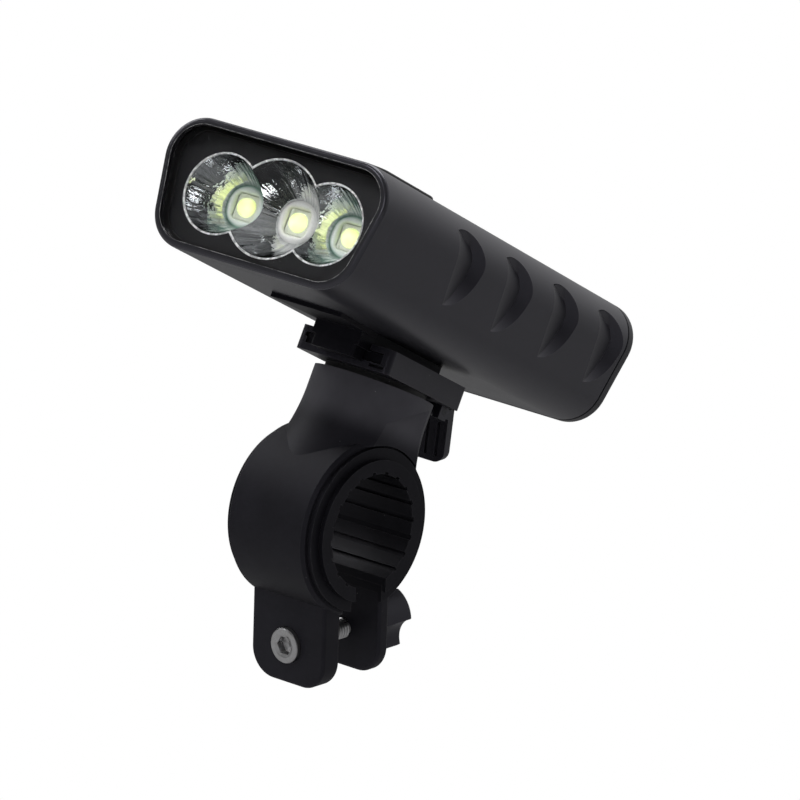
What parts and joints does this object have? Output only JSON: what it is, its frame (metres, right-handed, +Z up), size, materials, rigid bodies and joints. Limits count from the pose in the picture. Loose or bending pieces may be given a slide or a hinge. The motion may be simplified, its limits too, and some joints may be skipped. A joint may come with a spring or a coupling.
{
  "type": "bicycle light",
  "caption": "Rectangular dark grey bicycle headlight with chrome cups behind a clear window, on a quick-release bracket and a hinged-gap handlebar clamp with a thumb knob.",
  "frame": {"origin": "centre of the handlebar clamp's bore", "axes": "+Z up along the swivel axis, lamp facing -Y, bore axis in the XY plane turned 10 degrees from +X towards -Y"},
  "size_m": [0.049, 0.1092, 0.0931],
  "materials": {
    "housing_alloy": "satin anodised dark grey, lighter where it turns to the light",
    "bezel_black": "polished black front ring",
    "clear_window": "clear flat window",
    "black_rubber": "soft black rubber",
    "mask_black": "dark moulded mask",
    "mirror_cups": "bright metallised cups",
    "board_green": "solder-masked circuit board",
    "board_white": "white metal-core board",
    "emitter": "yellow phosphor under a clear dome on a pale base",
    "collar_white": "pale centring collar",
    "bare_aluminium": "machined aluminium",
    "zinc_steel": "plated steel",
    "cell_wrap": "plain shrink-wrapped cell",
    "cradle_plastic": "black moulded cradle",
    "pad_rubber": "matt black control pad",
    "button_rubber": "slightly lighter button cap",
    "window_smoke": "translucent light windows",
    "tail_black": "fine-grained dark tail cap",
    "clamp_plastic": "satin black moulded clamp",
    "bracket_plastic": "satin black moulded bracket",
    "knob_plastic": "black moulded knob",
    "brass_insert": "brass threaded insert"
  },
  "bodies": {
    "clamp": {"clamp_body": "clamp_plastic", "outer_liner": "black_rubber", "inner_liner": "black_rubber", "clamp_bolt": "zinc_steel", "swivel_screw": "zinc_steel", "swivel_nut": "zinc_steel", "swivel_washer": "black_rubber"},
    "bracket": {"bracket_base": "bracket_plastic", "lever_pin": "zinc_steel"},
    "lever": {"release_lever": "bracket_plastic", "latch_spring": "zinc_steel"},
    "lamp": {"main_housing": "housing_alloy", "front_bezel": "bezel_black", "front_lens": "clear_window", "lens_gasket": "black_rubber", "reflector_mask": "mask_black", "reflector_cluster": "mirror_cups", "led_board": "board_white", "led_left": "emitter", "led_centre": "emitter", "led_right": "emitter", "led_collars": "collar_white", "heat_sink": "bare_aluminium", "board_screws": "zinc_steel", "driver_board": "board_green", "battery_cell_left": "cell_wrap", "battery_cell_right": "cell_wrap", "cell_tab_front": "zinc_steel", "cell_tab_rear": "zinc_steel", "battery_cradle": "cradle_plastic", "switch_board": "board_green", "tact_switch": "cradle_plastic", "button_pad": "pad_rubber", "indicator_windows": "window_smoke", "charge_board": "board_green", "usb_a_port": "zinc_steel", "usb_a_tongue": "cradle_plastic", "micro_usb_port": "zinc_steel", "tail_gasket": "black_rubber", "tail_cap": "tail_black", "tail_screws": "zinc_steel", "cover_pin": "zinc_steel", "mount_shoe": "bracket_plastic", "shoe_screws": "zinc_steel"},
    "button": {"power_button": "button_rubber"},
    "cover": {"port_cover": "black_rubber"},
    "knob_carrier": {"knob_washer": "zinc_steel"},
    "knob": {"thumb_knob": "knob_plastic", "knob_insert": "brass_insert"}
  },
  "joints": [
    {"name": "head_swivel", "type": "hinge", "parent": "clamp", "child": "bracket", "pos_m": [0, 0, 0.0281], "axis": [0, 0, 1], "continuous": true},
    {"name": "lamp_slide", "type": "slide", "parent": "bracket", "child": "lamp", "axis": [0, -1, 0], "range_m": [0, 0.032], "deforming": ["latch_spring"]},
    {"name": "lever_press", "type": "hinge", "parent": "bracket", "child": "lever", "pos_m": [0, 0.0146, 0.0272], "axis": [1, 0, 0], "range_deg": [0, 12], "stiffness_Nm_per_rad": 0.05, "springref_deg": -5.73},
    {"name": "button_press", "type": "slide", "parent": "lamp", "child": "button", "axis": [0, 0, -1], "range_m": [0, 0.0006], "stiffness_N_per_m": 400, "springref_m": -0.0003},
    {"name": "cover_open", "type": "hinge", "parent": "lamp", "child": "cover", "pos_m": [0, 0.0486, 0.04355], "axis": [-1, 0, 0], "range_deg": [0, 110]},
    {"name": "knob_travel", "type": "slide", "parent": "clamp", "child": "knob_carrier", "axis": [0.1547, 0.8775, 0.454], "range_m": [0, 0.0028]},
    {"name": "knob_turn", "type": "hinge", "parent": "knob_carrier", "child": "knob", "pos_m": [0.00184, 0.01042, -0.02076], "axis": [0.1547, 0.8775, 0.454], "range_deg": [0, 1440]}
  ],
  "couplings": [
    {"joint": "knob_turn", "follows": "knob_travel", "rad_per_m": 8975.9}
  ]
}
